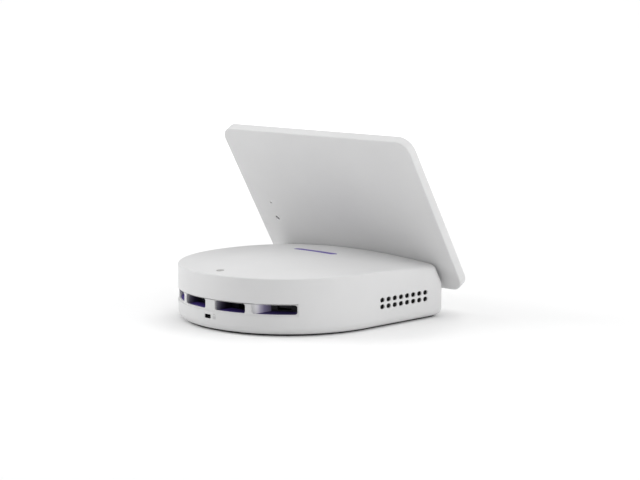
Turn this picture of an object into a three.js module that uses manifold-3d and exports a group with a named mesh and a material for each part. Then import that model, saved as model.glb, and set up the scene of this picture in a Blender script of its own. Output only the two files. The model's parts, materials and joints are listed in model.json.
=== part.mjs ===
// A table-top smart home hub: a wide touch display that leans back on a low D-shaped base.
// Millimetres, +Z up. The display faces -Y, the round end of the base with its ports faces +Y.
// The origin is on the table under the middle of the object.
import * as THREE from "three";
import { mergeVertices } from "three/addons/utils/BufferGeometryUtils.js";
import Module from "manifold-3d";

// ---------------------------------------------------------------- driving dimensions
const GAP = 0.3; // air between touching pieces

// Display, in its own leaning frame: x across, s up the slope, t out of the screen.
const DISPLAY_WIDTH = 240;
const DISPLAY_LOW = -33.3; // s of the lower edge
const DISPLAY_HIGH = 134.1; // s of the upper edge
const DISPLAY_THICK = 8.9;
const DISPLAY_CORNER = 14;
const LEAN = THREE.MathUtils.degToRad(59.56); // slope of the display above the table
const SCREEN_LINE_Y = -85.15; // where the display's back crosses the rim height
const RIM_Z = 50.8;

// Base outline seen from above.
const FRONT_HALF_WIDTH = 105.5;
const ARC_HALF_WIDTH = 103.1;
const ARC_Y = 3.1; // where the straight sides end and the round rear begins
const ARC_DEPTH = 106.6;
const REAR_POWER = 2.11; // 2 is an ellipse, more is squarer
const NOSE_Y = -97.45; // the upright front under the display
const FRONT_CORNER = 17;
const WALL = 2.6;

// Base heights.
const STAND = 1.4; // the heights here count from 0; the table is this far below
const FOOT_Z = -0.2;
const FOOT_INSETS = [6.9, 19]; // wide enough to hide the screws of the cover
const SHELL_BOTTOM_Z = 0.1;
const BOTTOM_INSET = 6.4;
const BOTTOM_RISE = 7.5; // height of the round under the wall
const LEDGE_INSET = 9; // inner edge of the shell's bottom lip
const COVER_TOP_Z = 4.5;
const SCREW_HEAD_Z = 1.5;
const BOARD_Z = 13.4;
const BOARD_THICK = 1.6;
const BOARD_TOP_Z = BOARD_Z + BOARD_THICK;

// Domed top.
const DOME_Y = 4.1;
const DOME_RISE = 6.1;
const DOME_REACH = 103;
const ROOF = 2.8;
const REAR_FILLET = 1.5;
const SIDE_FILLET = 5;
const FRONT_FILLET = 0.6;

// Outline resolution.
const ARC_STEPS = 38;
const SIDE_STEPS = 5;
const CORNER_STEPS = 6;
const FRONT_STEPS = 6;

// Rear port band: one recess with four windows in two mirrored pairs.
const BAND_ANGLE = THREE.MathUtils.degToRad(47.2);
const BAND_LOW = 16.9;
const BAND_HIGH = 27.9;
const WINDOW_LOW = 17.9;
const WINDOW_HIGH = 26.6;
const WINDOW_CORNER = 2;
const INNER_WINDOW = [6.2, 37.6]; // |x| from, to
const OUTER_WINDOW = [43.6, 76.8];
const BAY_Z = [16.2, 28.9];
const BAY_ROOF_Z = 27.3;
const BAY_FLOOR_Z = 17.4;
const BAY_END = 78; // |x| of the outer cells' far walls
const BAY_EDGE_INSET = 2.9; // where the bay meets the bezel
const PANEL_THICK = 2;
const INNER_PANEL_Y = 88; // front face of the panel behind the inner windows
const OUTER_PANEL = [60.8, 63.05]; // |x| and y of the middle of an outer panel's front face
const OUTER_PANEL_TURN = THREE.MathUtils.degToRad(35.9); // it lies along the round wall

// Side vents.
const VENT_ROWS = 2;
const VENT_COLUMNS = 8;
const VENT_FIRST_Y = -6.8;
const VENT_PITCH_Y = 8.19;
const VENT_LOW_Z = 18.2;
const VENT_PITCH_Z = 6.15;
const VENT_LENGTH = 5.9;
const VENT_HEIGHT = 4.4;

// Top and rear details.
const LIGHT_Y = -27;
const LIGHT_LENGTH = 54;
const LIGHT_WIDTH = 10;
const BUTTON_Y = 95.9;
const BUTTON_RADIUS = 3.5;
const LOCK_X = 2.1;
const LOCK_Z = 11.8;
const LOCK_SLOT = [7.5, 3.6];

// Screws.
const COVER_SCREWS = [[88.5, 6], [84, -84], [40, 87.2]]; // x is mirrored
const BOARD_SCREWS = [[70, 30], [48, -16]]; // x is mirrored
const BRACKET_SCREW_X = [-62, -34, 34, 62];
const BRACKET_SCREW_S = -11.5;
const SCREW_HOLE = 1.8; // radius

// ---------------------------------------------------------------- solids
const wasm = await Module();
wasm.setup();

function toSolid(geometry) {
  const bare = geometry.clone();
  bare.deleteAttribute("normal");
  bare.deleteAttribute("uv");
  const merged = mergeVertices(bare, 1e-4);
  return new wasm.Manifold(
    new wasm.Mesh({
      numProp: 3,
      vertProperties: new Float32Array(merged.attributes.position.array),
      triVerts: new Uint32Array(merged.index.array),
    }),
  );
}

function toGeometry(solid) {
  const mesh = solid.getMesh();
  const geometry = new THREE.BufferGeometry();
  geometry.setAttribute("position", new THREE.BufferAttribute(mesh.vertProperties, 3));
  geometry.setIndex(new THREE.BufferAttribute(mesh.triVerts, 1));
  const flat = geometry.toNonIndexed();
  flat.computeVertexNormals();
  return flat;
}

function unite(...solids) {
  return solids.reduce((whole, next) => whole.add(next));
}

function cut(solid, ...tools) {
  return tools.reduce((left, tool) => left.subtract(tool), solid);
}

function box([x0, x1], [y0, y1], [z0, z1]) {
  const geometry = new THREE.BoxGeometry(x1 - x0, y1 - y0, z1 - z0);
  geometry.translate((x0 + x1) / 2, (y0 + y1) / 2, (z0 + z1) / 2);
  return toSolid(geometry);
}

// A round or oval bar along an axis, from a to b on that axis, centred at p and q on the other two.
function bar(axis, [a, b], [p, q], radius, sides = 16, stretch = 1) {
  const geometry = new THREE.CylinderGeometry(radius, radius, b - a, sides);
  const middle = (a + b) / 2;
  if (axis === "x") {
    geometry.rotateZ(-Math.PI / 2);
    geometry.scale(1, stretch, 1);
    geometry.translate(middle, p, q);
  } else if (axis === "y") {
    geometry.scale(stretch, 1, 1);
    geometry.translate(p, middle, q);
  } else {
    geometry.rotateX(Math.PI / 2);
    geometry.scale(stretch, 1, 1);
    geometry.translate(p, q, middle);
  }
  return toSolid(geometry);
}

function prism(shape, [z0, z1], curveSegments = 6) {
  const settings = { depth: z1 - z0, bevelEnabled: false, curveSegments };
  const geometry = new THREE.ExtrudeGeometry(shape, settings);
  geometry.translate(0, 0, z0);
  return toSolid(geometry);
}

function roundedRectangle([x0, x1], [y0, y1], radius) {
  const shape = new THREE.Shape();
  const quarter = Math.PI / 2;
  shape.absarc(x1 - radius, y0 + radius, radius, -quarter, 0);
  shape.absarc(x1 - radius, y1 - radius, radius, 0, quarter);
  shape.absarc(x0 + radius, y1 - radius, radius, quarter, 2 * quarter);
  shape.absarc(x0 + radius, y0 + radius, radius, 2 * quarter, 3 * quarter);
  shape.closePath();
  return shape;
}

// A closed body through rings of equal length, each counter-clockwise seen from above, lowest first.
// The last ring closes on its middle point, at apexZ if that is given.
function loft(rings, apexZ) {
  const count = rings[0].length;
  const positions = [];
  const indices = [];
  const middle = (ring) => {
    const sum = ring.reduce((total, point) => total.add(point), new THREE.Vector3());
    return sum.divideScalar(ring.length);
  };
  rings.flat().forEach((point) => positions.push(point.x, point.y, point.z));
  const low = middle(rings[0]);
  const high = middle(rings.at(-1));
  high.z = apexZ ?? high.z;
  positions.push(low.x, low.y, low.z, high.x, high.y, high.z);
  const lowIndex = count * rings.length;
  const lastRing = count * (rings.length - 1);
  for (let i = 0; i < count; i++) {
    const next = (i + 1) % count;
    indices.push(lowIndex, next, i);
    indices.push(lowIndex + 1, lastRing + i, lastRing + next);
    for (let ring = 0; ring < lastRing; ring += count) {
      indices.push(ring + i, ring + next, ring + count + next);
      indices.push(ring + i, ring + count + next, ring + count + i);
    }
  }
  const geometry = new THREE.BufferGeometry();
  geometry.setAttribute("position", new THREE.Float32BufferAttribute(positions, 3));
  geometry.setIndex(indices);
  return toSolid(geometry);
}

// ---------------------------------------------------------------- base shape
function domeZ(x, y) {
  return RIM_Z + DOME_RISE * (1 - (x * x + (y - DOME_Y) ** 2) / DOME_REACH ** 2);
}

// The front edge follows the display's back, then drops upright behind its lower edge.
function frontY(z) {
  const leaning = SCREEN_LINE_Y + (z - RIM_Z) / Math.tan(LEAN) + GAP / Math.sin(LEAN);
  return Math.max(NOSE_Y, leaning);
}

// The stretches of the outline, counter-clockwise from +X: round rear, side, corner, front, corner, side.
const STRETCHES = [
  ["rear", ARC_STEPS],
  ["left", SIDE_STEPS],
  ["leftCorner", CORNER_STEPS],
  ["front", FRONT_STEPS],
  ["rightCorner", CORNER_STEPS],
  ["right", SIDE_STEPS],
];

function stretchPoint(stretch, part, inset, front) {
  const cornerX = FRONT_HALF_WIDTH - FRONT_CORNER;
  const cornerY = front + FRONT_CORNER;
  const radius = FRONT_CORNER - inset;
  const sideX = THREE.MathUtils.lerp(ARC_HALF_WIDTH, FRONT_HALF_WIDTH, part) - inset;
  const quarter = Math.PI / 2;
  if (stretch === "rear") {
    const angle = Math.PI * part;
    const power = 2 / REAR_POWER;
    const across = Math.sign(Math.cos(angle)) * Math.abs(Math.cos(angle)) ** power;
    const along = Math.abs(Math.sin(angle)) ** power;
    return [(ARC_HALF_WIDTH - inset) * across, ARC_Y + (ARC_DEPTH - inset) * along];
  }
  if (stretch === "left") return [-sideX, THREE.MathUtils.lerp(ARC_Y, cornerY, part)];
  if (stretch === "right") {
    const back = THREE.MathUtils.lerp(FRONT_HALF_WIDTH, ARC_HALF_WIDTH, part) - inset;
    return [back, THREE.MathUtils.lerp(cornerY, ARC_Y, part)];
  }
  if (stretch === "front") return [THREE.MathUtils.lerp(-cornerX, cornerX, part), front + inset];
  const turn = stretch === "leftCorner" ? Math.PI + quarter * part : 3 * quarter + quarter * part;
  const side = stretch === "leftCorner" ? -1 : 1;
  return [side * cornerX + radius * Math.cos(turn), cornerY + radius * Math.sin(turn)];
}

// How round the top edge is: crisp at the rear, softer along the sides, crisp again under the display.
function filletRadius(stretch, part) {
  if (stretch === "rear") return REAR_FILLET;
  const smooth = (value) => THREE.MathUtils.smoothstep(value, 0, 1);
  if (stretch === "left") return THREE.MathUtils.lerp(REAR_FILLET, SIDE_FILLET, smooth(part));
  if (stretch === "right") return THREE.MathUtils.lerp(SIDE_FILLET, REAR_FILLET, smooth(part));
  if (stretch === "front") return FRONT_FILLET;
  const towardsFront = stretch === "leftCorner" ? part : 1 - part;
  return THREE.MathUtils.lerp(SIDE_FILLET, FRONT_FILLET, smooth(towardsFront));
}

// One ring of the base: place(stretch, part) gives each outline point its inset and height.
function baseRing(place) {
  const ring = [];
  for (const [stretch, steps] of STRETCHES) {
    for (let i = 0; i < steps; i++) {
      const { inset, z } = place(stretch, i / steps);
      const [x, y] = stretchPoint(stretch, i / steps, inset, frontY(z));
      ring.push(new THREE.Vector3(x, y, z));
    }
  }
  return ring;
}

function flatRing(inset, z) {
  return baseRing(() => ({ inset, z }));
}

// The height at which a fillet of this radius meets the dome.
function edgeHeight(stretch, part, inset) {
  let z = RIM_Z;
  for (let i = 0; i < 3; i++) {
    const [x, y] = stretchPoint(stretch, part, inset, frontY(z));
    z = domeZ(x, y);
  }
  return z;
}

// Rings that shrink towards the middle of the dome, at a given depth under its surface.
function domeRings(ring, depth, shares) {
  return shares.map((share) =>
    ring.map((point) => {
      const x = point.x * share;
      const y = DOME_Y + (point.y - DOME_Y) * share;
      return new THREE.Vector3(x, y, domeZ(x, y) - depth);
    }),
  );
}

function housingOutside() {
  const noseTop = RIM_Z + (NOSE_Y - SCREEN_LINE_Y - GAP / Math.sin(LEAN)) * Math.tan(LEAN);
  const rings = [];
  for (const turn of [0, 0.25, 0.5, 0.75, 1]) {
    const angle = (turn * Math.PI) / 2;
    rings.push(
      flatRing(
        BOTTOM_INSET * (1 - Math.sin(angle)),
        SHELL_BOTTOM_Z + BOTTOM_RISE * (1 - Math.cos(angle)),
      ),
    );
  }
  rings.push(flatRing(0, noseTop));
  for (const turn of [0, 0.5, 1]) {
    const angle = (turn * Math.PI) / 2;
    rings.push(
      baseRing((stretch, part) => {
        const radius = filletRadius(stretch, part);
        const top = edgeHeight(stretch, part, radius);
        return { inset: radius * (1 - Math.cos(angle)), z: top - radius * (1 - Math.sin(angle)) };
      }),
    );
  }
  rings.push(...domeRings(rings.at(-1), 0, [0.8, 0.55, 0.28]));
  return loft(rings, RIM_Z + DOME_RISE);
}

function housingInside() {
  const rings = [
    flatRing(LEDGE_INSET, -1),
    flatRing(LEDGE_INSET, COVER_TOP_Z + 0.4),
    flatRing(WALL, COVER_TOP_Z + 2.8),
    flatRing(WALL, 32),
  ];
  const soft = 3;
  for (const turn of [0, 1]) {
    rings.push(
      baseRing((stretch, part) => {
        const inset = WALL + soft * turn;
        return { inset, z: edgeHeight(stretch, part, inset) - ROOF - soft * (1 - turn) };
      }),
    );
  }
  rings.push(...domeRings(rings.at(-1), ROOF, [0.7, 0.35]));
  return loft(rings, RIM_Z + DOME_RISE - ROOF);
}

function basePrism(inset, [z0, z1]) {
  return loft([flatRing(inset, z0), flatRing(inset, z1)]);
}

// The wedge of the round rear that the port band covers.
function bandSector(angle, [z0, z1]) {
  const reach = 160;
  const shape = new THREE.Shape();
  shape.moveTo(0, ARC_Y);
  shape.lineTo(reach * Math.sin(angle), ARC_Y + reach * Math.cos(angle));
  shape.lineTo(-reach * Math.sin(angle), ARC_Y + reach * Math.cos(angle));
  shape.closePath();
  return prism(shape, [z0, z1]);
}

function portWindow([from, to], side, fromY) {
  const xs = side > 0 ? [from, to] : [-to, -from];
  const shape = roundedRectangle(xs, [WINDOW_LOW, WINDOW_HIGH], WINDOW_CORNER);
  const beyond = 130;
  const settings = { depth: beyond - fromY, bevelEnabled: false, curveSegments: 4 };
  const geometry = new THREE.ExtrudeGeometry(shape, settings);
  geometry.rotateX(Math.PI / 2);
  geometry.translate(0, beyond, 0);
  return toSolid(geometry);
}

// A bar with fully round ends, lying along X.
function pill(length, width, [z0, z1], y) {
  const xs = [-length / 2, length / 2];
  const ys = [y - width / 2, y + width / 2];
  return prism(roundedRectangle(xs, ys, width / 2 - 0.01), [z0, z1]);
}

const mirrored = (pairs) => pairs.flatMap(([x, y]) => [[x, y], [-x, y]]);

// ---------------------------------------------------------------- materials
const COLOURS = {
  white: 0xe6e5e3,
  black: 0x121214,
  rubber: 0x2b2b2d,
  steel: 0x9a9ca0,
  aluminium: 0xb9bcc0,
  board: 0x1d4a2f,
  violet: 0x5646a8,
  glass: 0x08090b,
  panel: 0x22242a,
  brass: 0xb48a3c,
};
const FINISH = {
  white: [0.55, 0],
  black: [0.5, 0],
  rubber: [0.9, 0],
  steel: [0.35, 1],
  aluminium: [0.4, 1],
  board: [0.5, 0],
  violet: [0.3, 0],
  glass: [0.05, 0],
  panel: [0.3, 0],
  brass: [0.3, 1],
};

function part(name, solid, kind) {
  const [roughness, metalness] = FINISH[kind];
  const material = new THREE.MeshStandardMaterial({ color: COLOURS[kind], roughness, metalness });
  const mesh = new THREE.Mesh(toGeometry(solid), material);
  mesh.name = name;
  return mesh;
}

// ---------------------------------------------------------------- base pieces
// Turns a solid made in the display's frame (x, s, t) into the base's frame.
const leaning = new THREE.Matrix4()
  .makeTranslation(0, SCREEN_LINE_Y, RIM_Z)
  .multiply(new THREE.Matrix4().makeRotationX(LEAN));

function leanSolid(solid) {
  const geometry = toGeometry(solid);
  geometry.applyMatrix4(leaning);
  return toSolid(geometry);
}

function ventHoles() {
  const holes = [];
  for (const side of [-1, 1]) {
    const reach = side < 0 ? [-110, -97] : [97, 110];
    for (let row = 0; row < VENT_ROWS; row++) {
      for (let column = 0; column < VENT_COLUMNS; column++) {
        const y = VENT_FIRST_Y - column * VENT_PITCH_Y;
        const z = VENT_LOW_Z + row * VENT_PITCH_Z;
        holes.push(bar("x", reach, [y, z], VENT_HEIGHT / 2, 8, VENT_LENGTH / VENT_HEIGHT));
      }
    }
  }
  return holes;
}

// Screw bosses, each tied to the nearest wall by a rib.
function coverBosses() {
  const bosses = [];
  const top = 12.4;
  for (const [x, y] of mirrored(COVER_SCREWS)) {
    bosses.push(bar("z", [COVER_TOP_Z + GAP, top], [x, y], 4, 12));
    const out = Math.sign(x);
    const byFront = y < -50;
    const byRear = y > 50;
    if (byFront) bosses.push(box([x - 1.2, x + 1.2], [NOSE_Y + 1.5, y - 2], [9, top]));
    if (byRear) bosses.push(box([x - 1.2, x + 1.2], [y + 2, 101], [9, top]));
    if (!byFront && !byRear) {
      const reach = out > 0 ? [x + 2, ARC_HALF_WIDTH - 1.5] : [-ARC_HALF_WIDTH + 1.5, x - 2];
      bosses.push(box(reach, [y - 1.2, y + 1.2], [9, top]));
    }
  }
  return bosses;
}

function roofBosses() {
  const depth = 1;
  const make = (x, y, z) => bar("z", [z, domeZ(x, y) - depth], [x, y], 2.4, 10);
  return [-1, 1].flatMap((side) => [make(side * 33, LIGHT_Y, 48.3), make(side * 9.5, 93, 41.5)]);
}

function baseHousing() {
  const inside = housingInside();
  const bosses = [...coverBosses(), ...roofBosses()];
  const shell = unite(housingOutside().subtract(inside), ...bosses);
  const band = basePrism(-5, [BAND_LOW, BAND_HIGH])
    .subtract(basePrism(WALL + 0.6, [0, 40]))
    .intersect(bandSector(BAND_ANGLE, [0, 40]));
  const screwHoles = mirrored(COVER_SCREWS).map(([x, y]) =>
    bar("z", [0, 11.4], [x, y], SCREW_HOLE, 10),
  );
  const bracketHoles = BRACKET_SCREW_X.map((x) =>
    leanSolid(bar("z", [-8, 3], [x, BRACKET_SCREW_S], SCREW_HOLE, 10)),
  );
  const cableWindow = leanSolid(box([-16, 16], [-14, -6], [-8, 3]));
  const lockSlot = box(
    [LOCK_X - LOCK_SLOT[0] / 2, LOCK_X + LOCK_SLOT[0] / 2],
    [100, 115],
    [LOCK_Z - LOCK_SLOT[1] / 2, LOCK_Z + LOCK_SLOT[1] / 2],
  );
  return cut(
    shell,
    band,
    pill(LIGHT_LENGTH, LIGHT_WIDTH, [45, 65], LIGHT_Y),
    bar("z", [45, 65], [0, BUTTON_Y], BUTTON_RADIUS + GAP, 20),
    lockSlot,
    cableWindow,
    ...ventHoles(),
    ...screwHoles,
    ...bracketHoles,
  );
}

function portBezel() {
  const ring = basePrism(0.75, [BAND_LOW + GAP, BAND_HIGH - GAP])
    .subtract(basePrism(2.55, [0, 40]))
    .intersect(bandSector(BAND_ANGLE - 0.004, [0, 40]));
  const windows = [-1, 1].flatMap((side) => [
    portWindow(INNER_WINDOW, side, 88),
    portWindow(OUTER_WINDOW, side, 52),
  ]);
  return cut(ring, ...windows);
}

// Turns a solid from an outer panel's own frame, whose y = 0 is its front face, to its place.
function onOuterPanel(side, solid) {
  const geometry = toGeometry(solid);
  geometry.rotateZ(-side * OUTER_PANEL_TURN);
  geometry.translate(side * OUTER_PANEL[0], OUTER_PANEL[1], 0);
  return toSolid(geometry);
}

// All that lies within a margin behind the panels' front faces, or in front of them.
function bayDepth(margin, [z0, z1]) {
  const inner = box([-41, 41], [INNER_PANEL_Y - margin, 112], [z0, z1]);
  const outer = [-1, 1].map((side) =>
    onOuterPanel(side, box([-40, 40], [-margin, 80], [z0, z1])).intersect(
      box(spanX(side, [40.5, BAY_END + 2]), [30, 112], [z0, z1]),
    ),
  );
  return unite(inner, ...outer);
}

function bayCells([z0, z1]) {
  return [-1, 1].flatMap((side) => [
    box(spanX(side, INNER_WINDOW), [INNER_PANEL_Y - PANEL_THICK - 1, 120], [z0, z1]),
    box(spanX(side, [OUTER_WINDOW[0], BAY_END]), [30, 120], [z0, z1]),
  ]);
}

// White walls between the cells, under one roof.
function portBay() {
  const ribs = bayDepth(PANEL_THICK, [BAY_FLOOR_Z + GAP, BAY_ROOF_Z])
    .intersect(basePrism(BAY_EDGE_INSET, [0, 40]))
    .subtract(box([-7, 7], [0, INNER_PANEL_Y + GAP], [0, 40]));
  const roof = bayDepth(PANEL_THICK, [BAY_ROOF_Z - 0.1, BAY_Z[1]]).intersect(basePrism(3.5, [0, 40]));
  return unite(cut(ribs, ...bayCells([0, 40])), roof);
}

function bayLightGuide() {
  return bayDepth(0.4, [BAY_Z[0], BAY_FLOOR_Z]).intersect(basePrism(BAY_EDGE_INSET, [0, 40]));
}

// Mouth centre x and z in its panel's frame; mouth width, height, depth; body width, height, length.
const USB = { z: 21.4, width: 12.6, height: 5.2, deep: 9, body: [14.4, 7.4, 13] };
const PORTS = {
  network: { x: -22, z: 22.1, width: 11.8, height: 8.2, deep: 14, body: [16, 13.4, 20] },
  power: { x: 22, z: 22, width: 9.2, height: 4.4, deep: 7, body: [13, 7, 12] },
  usb_inner: { x: 9, ...USB },
  usb_outer: { x: -9, ...USB },
  video: { x: 0, z: 21.6, width: 14.4, height: 5, deep: 9, body: [16.4, 7.2, 12] },
};

function portHole({ x, z, width, height }) {
  return box([x - width / 2, x + width / 2], [-5, 4], [z - height / 2, z + height / 2]);
}

function panelPlate(reach, ports) {
  const plate = box([-reach, reach], [-PANEL_THICK, 0], [BAY_FLOOR_Z + GAP, BAY_ROOF_Z - GAP]);
  return cut(plate, ...ports.map(portHole));
}

function placeInner(solid) {
  const geometry = toGeometry(solid);
  geometry.translate(0, INNER_PANEL_Y, 0);
  return toSolid(geometry);
}

function innerPanel() {
  return placeInner(panelPlate(INNER_WINDOW[1] - GAP, [PORTS.network, PORTS.power]));
}

function outerPanel(side, ports) {
  const between = box(spanX(side, [OUTER_WINDOW[0] + GAP, BAY_END - GAP]), [0, 120], [0, 40]);
  return onOuterPanel(side, panelPlate(24, ports)).intersect(between);
}

// A socket: a body behind its panel with a rectangular mouth towards +Y of the panel's frame.
function socket({ x, z, width, height, deep, body }, tongue) {
  const face = -PANEL_THICK - GAP;
  const foot = BOARD_TOP_Z + GAP;
  const top = Math.max(z + height / 2 + 1, foot + body[1]);
  const shell = box([x - body[0] / 2, x + body[0] / 2], [face - body[2], face], [foot, top]);
  const mouth = box(
    [x - width / 2, x + width / 2],
    [face - deep, face + 1],
    [z - height / 2, z + height / 2],
  );
  const hollow = shell.subtract(mouth);
  if (!tongue) return hollow;
  const [tongueWidth, thick, reach] = tongue;
  return hollow.add(
    box(
      [x - tongueWidth / 2, x + tongueWidth / 2],
      [face - deep - 0.5, face - deep + reach],
      [z - thick / 2, z + thick / 2],
    ),
  );
}

function baseCover() {
  const plate = basePrism(LEDGE_INSET + GAP, [SHELL_BOTTOM_Z, COVER_TOP_Z]);
  const posts = mirrored(BOARD_SCREWS).map(([x, y]) =>
    bar("z", [COVER_TOP_Z - 0.2, BOARD_Z - GAP], [x, y], 3.5, 12),
  );
  const postHoles = mirrored(BOARD_SCREWS).map(([x, y]) => bar("z", [7, 20], [x, y], 1.5, 10));
  const screwHoles = mirrored(COVER_SCREWS).flatMap(([x, y]) => [
    bar("z", [-1, 10], [x, y], SCREW_HOLE, 10),
    bar("z", [-1, 3.4], [x, y], 3.2, 14),
  ]);
  return cut(unite(plate, ...posts), ...postHoles, ...screwHoles);
}

function footRing() {
  const [outer, inner] = FOOT_INSETS;
  return basePrism(outer, [-STAND, FOOT_Z]).subtract(basePrism(inner, [-STAND - 1, FOOT_Z + 1]));
}

function screw(head, headHeight, shank, length, sides = 12) {
  const profile = [
    [0, 0],
    [head - 0.3, 0],
    [head, 0.3],
    [head, headHeight],
    [shank, headHeight],
    [shank, length - 0.5],
    [shank - 0.5, length],
    [0, length],
  ].map(([x, y]) => new THREE.Vector2(x, y));
  const geometry = new THREE.LatheGeometry(profile, sides);
  geometry.rotateX(Math.PI / 2);
  return toSolid(geometry);
}

function mainBoard() {
  const zs = [BOARD_Z, BOARD_TOP_Z];
  const field = unite(box([-78, 78], [3, 84], zs), box([-56, 56], [-26, 4], zs));
  const holes = mirrored(BOARD_SCREWS).map(([x, y]) => bar("z", [0, 30], [x, y], 1.6, 10));
  return cut(field.intersect(basePrism(9, [0, 40])), ...holes);
}

function heatSink() {
  const base = box([-30, 30], [-12, 48], [17.1, 19.2]);
  const fins = [];
  for (let i = 0; i < 9; i++) {
    const x = -28.6 + i * 7.15;
    fins.push(box([x - 0.8, x + 0.8], [-12, 48], [19, 36]));
  }
  return unite(base, ...fins);
}

function ventCloth(side) {
  const lastY = VENT_FIRST_Y - (VENT_COLUMNS - 1) * VENT_PITCH_Y;
  const reach = side < 0 ? [-110, -90] : [90, 110];
  return basePrism(WALL + GAP, [14, 29])
    .subtract(basePrism(WALL + 2 * GAP, [0, 60]))
    .intersect(box(reach, [lastY - 4, VENT_FIRST_Y + 4], [0, 60]));
}

const SPEAKER = { y: [-68, -3], z: [6.4, 40], x: [62, 97.4] };

function spanX(side, [from, to]) {
  return side > 0 ? [from, to] : [-to, -from];
}

function speakerBox(side) {
  const wall = 2;
  const [y0, y1] = SPEAKER.y;
  const [z0, z1] = SPEAKER.z;
  const hollow = box(
    spanX(side, [SPEAKER.x[0] + wall, SPEAKER.x[1] + 5]),
    [y0 + wall, y1 - wall],
    [z0 + wall, z1 - wall],
  );
  return box(spanX(side, SPEAKER.x), SPEAKER.y, SPEAKER.z).subtract(hollow);
}

// A racetrack outline in the YZ plane, extruded along X.
function racetrack(side, [from, to], length, height) {
  const y = (SPEAKER.y[0] + SPEAKER.y[1]) / 2;
  const z = (SPEAKER.z[0] + SPEAKER.z[1]) / 2;
  const ys = [y - length / 2, y + length / 2];
  const zs = [z - height / 2, z + height / 2];
  const shape = roundedRectangle(ys, zs, height / 2 - 0.01);
  const settings = { depth: to - from, bevelEnabled: false, curveSegments: 6 };
  const geometry = new THREE.ExtrudeGeometry(shape, settings);
  geometry.applyMatrix4(new THREE.Matrix4().makeBasis(
    new THREE.Vector3(0, 1, 0),
    new THREE.Vector3(0, 0, 1),
    new THREE.Vector3(1, 0, 0),
  ));
  geometry.translate(side > 0 ? from : -to, 0, 0);
  return toSolid(geometry);
}

function speakerDriver(side) {
  const y = (SPEAKER.y[0] + SPEAKER.y[1]) / 2;
  const z = (SPEAKER.z[0] + SPEAKER.z[1]) / 2;
  const edge = 2 + GAP;
  const plate = box(
    spanX(side, [91, 97]),
    [SPEAKER.y[0] + edge, SPEAKER.y[1] - edge],
    [SPEAKER.z[0] + edge, SPEAKER.z[1] - edge],
  );
  const pocket = racetrack(side, [93, 99], 52, 20);
  const magnet = bar("x", spanX(side, [80, 92]), [y, z], 11, 20);
  return unite(plate.subtract(pocket), magnet);
}

function speakerCone(side) {
  const body = racetrack(side, [94, 96.6], 51.2, 19.2);
  const dish = racetrack(side, [95.4, 99], 44, 13);
  return body.subtract(dish);
}

function lightLens() {
  const top = domeZ(0, LIGHT_Y) - 0.4;
  const stem = pill(LIGHT_LENGTH - 2 * GAP, LIGHT_WIDTH - 2 * GAP, [52.3, top], LIGHT_Y);
  return unite(stem, pill(58, 13, [50.7, 52.5], LIGHT_Y));
}

function lightBoard() {
  const board = box([-37, 37], [LIGHT_Y - 5, LIGHT_Y + 5], [46.8, 48]);
  const leds = [-20, -10, 0, 10, 20].map((x) =>
    box([x - 1.6, x + 1.6], [LIGHT_Y - 1.6, LIGHT_Y + 1.6], [47.9, 48.8]),
  );
  return unite(board, ...leds);
}

// Round cap with a wider flange under the roof and a stem over the switch.
function powerButton() {
  const top = domeZ(0, BUTTON_Y) + 0.25;
  const profile = [
    [0, 45.9],
    [1.8, 45.9],
    [1.8, 46.7],
    [4.8, 46.7],
    [4.8, 48.2],
    [BUTTON_RADIUS, 48.2],
    [BUTTON_RADIUS, top - 0.4],
    [BUTTON_RADIUS - 0.4, top],
    [0, top],
  ].map(([x, y]) => new THREE.Vector2(x, y));
  const geometry = new THREE.LatheGeometry(profile, 20);
  geometry.rotateX(Math.PI / 2);
  geometry.translate(0, BUTTON_Y, 0);
  return toSolid(geometry);
}

function buttonSwitch() {
  return unite(
    box([-3, 3], [BUTTON_Y - 3, BUTTON_Y + 3], [41.5, 44.6]),
    bar("z", [44.4, 45.1], [0, BUTTON_Y], 1.6, 12),
  );
}

function lockPlate() {
  const slot = box(
    [LOCK_X - LOCK_SLOT[0] / 2, LOCK_X + LOCK_SLOT[0] / 2],
    [100, 115],
    [LOCK_Z - LOCK_SLOT[1] / 2, LOCK_Z + LOCK_SLOT[1] / 2],
  );
  return box([LOCK_X - 11, LOCK_X + 11], [104.2, 105.8], [9, 15.8]).subtract(slot);
}

// ---------------------------------------------------------------- display pieces
const DISPLAY_MIDDLE = (DISPLAY_LOW + DISPLAY_HIGH) / 2;
const DISPLAY_HEIGHT = DISPLAY_HIGH - DISPLAY_LOW;
const TRAY_WALL = 1.6;
const TRAY_FLOOR = 1.8;
const PINHOLE = [94.2, 47];
const INFRARED = [94.2, 28.4];

function displayRing(inset, t) {
  const halfWidth = DISPLAY_WIDTH / 2 - inset;
  const halfHeight = DISPLAY_HEIGHT / 2 - inset;
  const radius = DISPLAY_CORNER - inset;
  const points = [];
  const steps = 7;
  for (let corner = 0; corner < 4; corner++) {
    const right = corner === 0 || corner === 3 ? 1 : -1;
    const up = corner < 2 ? 1 : -1;
    for (let i = 0; i <= steps; i++) {
      const angle = (corner + i / steps) * (Math.PI / 2);
      const x = right * (halfWidth - radius) + radius * Math.cos(angle);
      const s = DISPLAY_MIDDLE + up * (halfHeight - radius) + radius * Math.sin(angle);
      points.push(new THREE.Vector3(x, s, t));
    }
  }
  return points;
}

function displaySlab(inset, [t0, t1]) {
  return loft([displayRing(inset, t0), displayRing(inset, t1)]);
}

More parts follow.
